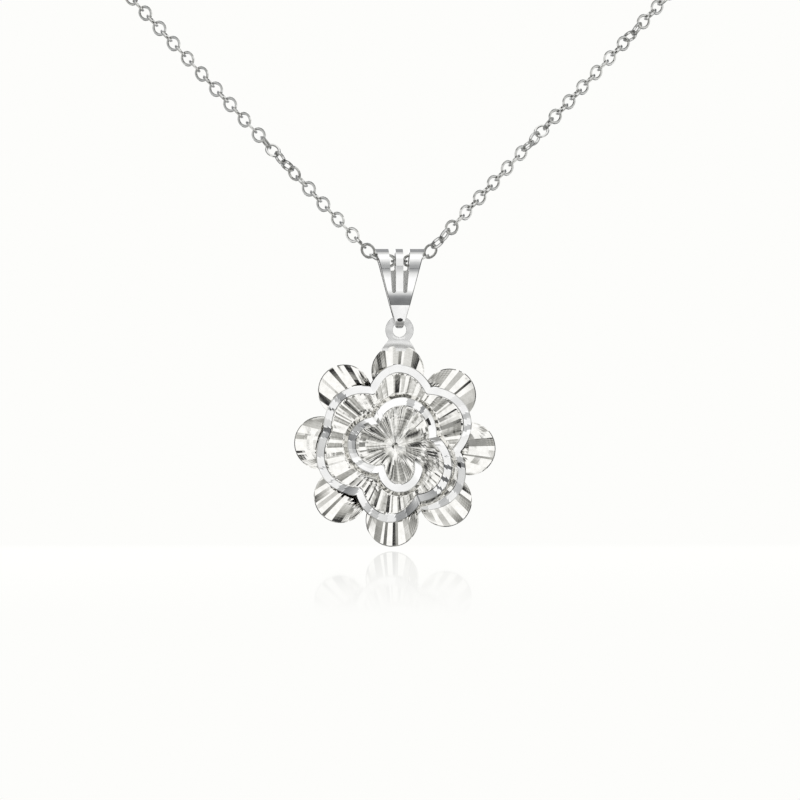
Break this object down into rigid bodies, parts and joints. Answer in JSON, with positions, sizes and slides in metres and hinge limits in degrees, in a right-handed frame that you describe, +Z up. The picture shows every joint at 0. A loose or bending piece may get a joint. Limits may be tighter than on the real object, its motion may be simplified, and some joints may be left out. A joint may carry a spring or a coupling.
{
  "type": "flower pendant necklace",
  "caption": "Silver flower pendant of cupped petals and a winding ribbon rose, hanging by its eyelet from a slotted tapered bail on a fine cable-chain loop.",
  "frame": {"origin": "centre of the clasp at the nape, where the loop hangs", "axes": "+Z up, -Y towards the front of the pendant, +X to the right as seen from the front"},
  "size_m": [0.1177, 0.1439, 0.1203],
  "materials": {
    "chain_silver": "rhodium-plated silver wire, polished",
    "polished_silver": "rhodium-plated silver sheet, polished",
    "diamond_cut_silver": "rhodium-plated silver sheet, stamped and diamond cut"
  },
  "bodies": {
    "necklace": {"chain": "chain_silver", "clasp": "polished_silver"},
    "bail": {"bail": "polished_silver"},
    "flower": {"back_petals": "diamond_cut_silver", "rose": "diamond_cut_silver"}
  },
  "joints": [
    {"name": "bail_swing", "type": "hinge", "parent": "necklace", "child": "bail", "pos_m": [0, -0.1419, -0.09188], "axis": [1, 0, 0], "range_deg": [-60, 60]},
    {"name": "flower_swing", "type": "hinge", "parent": "bail", "child": "flower", "pos_m": [0, -0.1419, -0.09695], "axis": [1, 0, 0], "range_deg": [-50, 50]}
  ]
}
